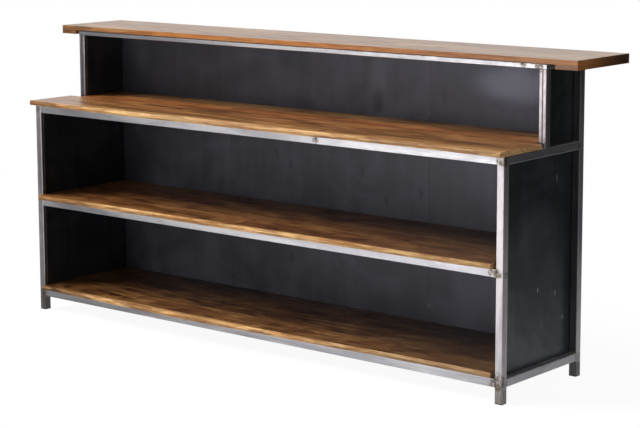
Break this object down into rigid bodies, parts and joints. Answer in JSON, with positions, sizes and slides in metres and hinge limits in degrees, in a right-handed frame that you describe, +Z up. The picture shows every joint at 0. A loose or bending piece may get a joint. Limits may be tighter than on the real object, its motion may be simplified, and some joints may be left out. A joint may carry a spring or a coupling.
{
  "type": "bar counter with shelves",
  "caption": "Free-standing two-level bar counter: open shelves and a working counter on the staff side, a higher bar top above, sheet steel on the back and ends.",
  "frame": {"origin": "middle of the footprint box, on the floor under the feet", "axes": "+X along the counter, to the right as the bartender sees it from the open side; +Y from the open side to the customer; +Z up"},
  "size_m": [2.52, 0.6202, 1.158],
  "materials": {
    "raw_steel": "raw welded tube, ground welds, clear wax",
    "black_sheet": "blackened sheet steel, satin",
    "shelf_wood": "oiled hardwood with a natural front edge",
    "bar_wood": "oiled hardwood, rubbed matt top",
    "foot_plastic": "black moulded inserts",
    "zinc_screw": "zinc plated"
  },
  "bodies": {
    "root": {"back_bottom_rail": "raw_steel", "back_counter_rail": "raw_steel", "back_post_left": "raw_steel", "back_post_right": "raw_steel", "back_top_rail": "raw_steel", "bar_top_batten_left": "bar_wood", "bar_top_batten_right": "bar_wood", "bar_top_plank_1": "bar_wood", "bar_top_plank_2": "bar_wood", "bar_top_plank_3": "bar_wood", "bar_top_screws": "zinc_screw", "bar_top_tabs": "raw_steel", "bottom_shelf_cleat": "raw_steel", "bottom_shelf_edge_plank": "shelf_wood", "bottom_shelf_plank_2": "shelf_wood", "bottom_shelf_plank_3": "shelf_wood", "bottom_shelf_plank_4": "shelf_wood", "cleat_screws": "zinc_screw", "counter_cleat": "raw_steel", "counter_edge_plank": "shelf_wood", "counter_plank_2": "shelf_wood", "counter_plank_3": "shelf_wood", "counter_plank_4": "shelf_wood", "foot_cap_back_left": "foot_plastic", "foot_cap_back_right": "foot_plastic", "foot_cap_front_left": "foot_plastic", "foot_cap_front_right": "foot_plastic", "front_bottom_rail": "raw_steel", "front_counter_rail": "raw_steel", "front_middle_rail": "raw_steel", "front_post_left": "raw_steel", "front_post_right": "raw_steel", "front_top_rail": "raw_steel", "left_bottom_rail": "raw_steel", "left_counter_rail": "raw_steel", "left_top_rail": "raw_steel", "lower_back_sheet_left": "black_sheet", "lower_back_sheet_middle": "black_sheet", "lower_back_sheet_right": "black_sheet", "lower_back_stile_left": "raw_steel", "lower_back_stile_right": "raw_steel", "lower_end_panel_left": "black_sheet", "lower_end_panel_right": "black_sheet", "middle_shelf_cleat": "raw_steel", "middle_shelf_edge_plank": "shelf_wood", "middle_shelf_plank_2": "shelf_wood", "middle_shelf_plank_3": "shelf_wood", "middle_shelf_plank_4": "shelf_wood", "right_bottom_rail": "raw_steel", "right_counter_rail": "raw_steel", "right_top_rail": "raw_steel", "upper_back_sheet_left": "black_sheet", "upper_back_sheet_middle": "black_sheet", "upper_back_sheet_right": "black_sheet", "upper_back_stile_left": "raw_steel", "upper_back_stile_right": "raw_steel", "upper_end_panel_left": "black_sheet", "upper_end_panel_right": "black_sheet", "upper_post_left": "raw_steel", "upper_post_right": "raw_steel"}
  },
  "joints": []
}
